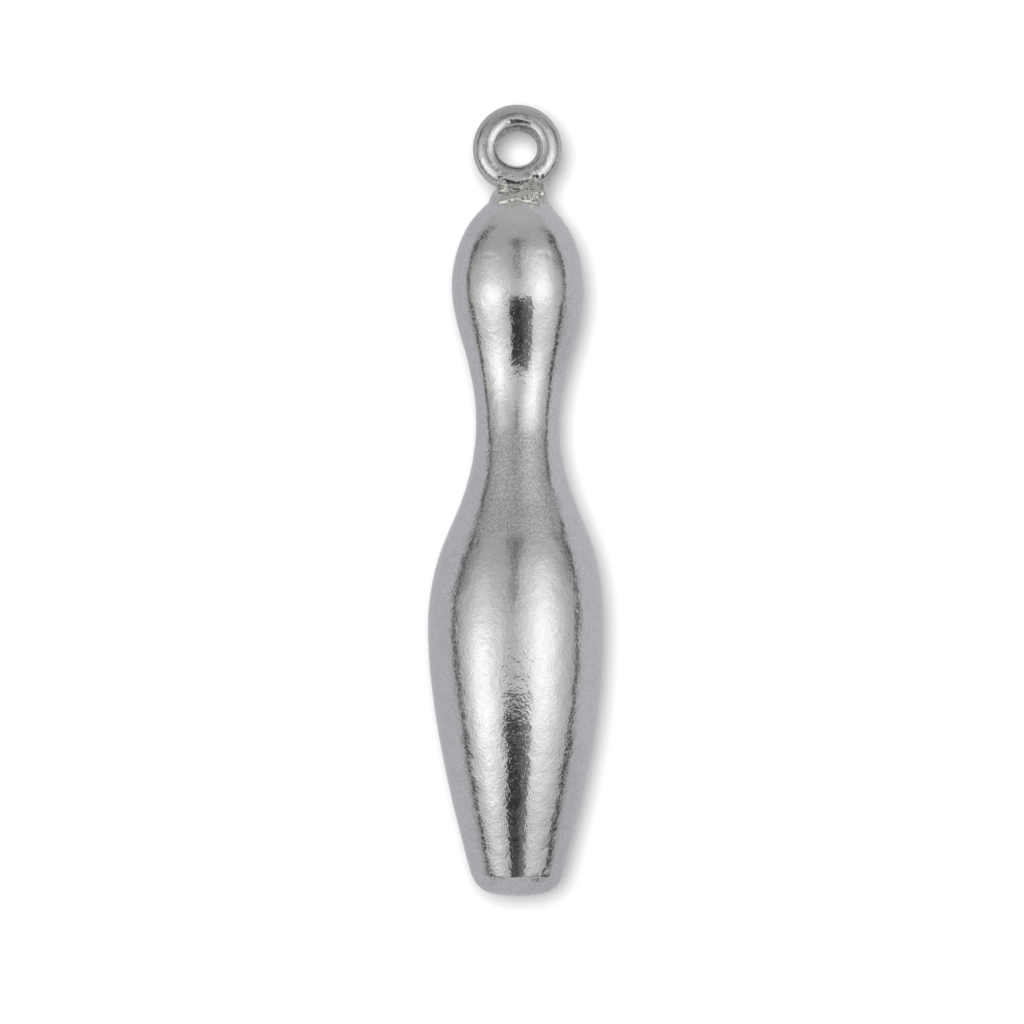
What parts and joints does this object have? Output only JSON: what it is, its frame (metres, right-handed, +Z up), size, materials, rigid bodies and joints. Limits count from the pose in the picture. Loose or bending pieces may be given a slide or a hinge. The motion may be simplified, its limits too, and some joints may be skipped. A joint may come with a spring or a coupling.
{
  "type": "bowling pin charm",
  "caption": "Small solid silver charm shaped as a bowling pin, with a soldered wire ring on its head to hang it from a jump ring, chain or ear wire.",
  "frame": {"origin": "centre of the ring's eye, halfway along the eye's round land", "axes": "+Z up the pin's axis towards the ring, as the charm hangs; +Y through the ring's eye; +X across the ring"},
  "size_m": [0.0056, 0.0056, 0.025],
  "materials": {
    "cast_silver": "cast silver, tumble polished, with the fine pebbled skin of the mould still in it",
    "silver_wire": "drawn silver wire, bright, with small tool marks",
    "silver_solder": "silver solder, glossy, rippled and slightly yellow"
  },
  "bodies": {
    "root": {"pin_body": "cast_silver", "hanging_loop": "silver_wire", "solder_joint": "silver_solder"}
  },
  "joints": []
}
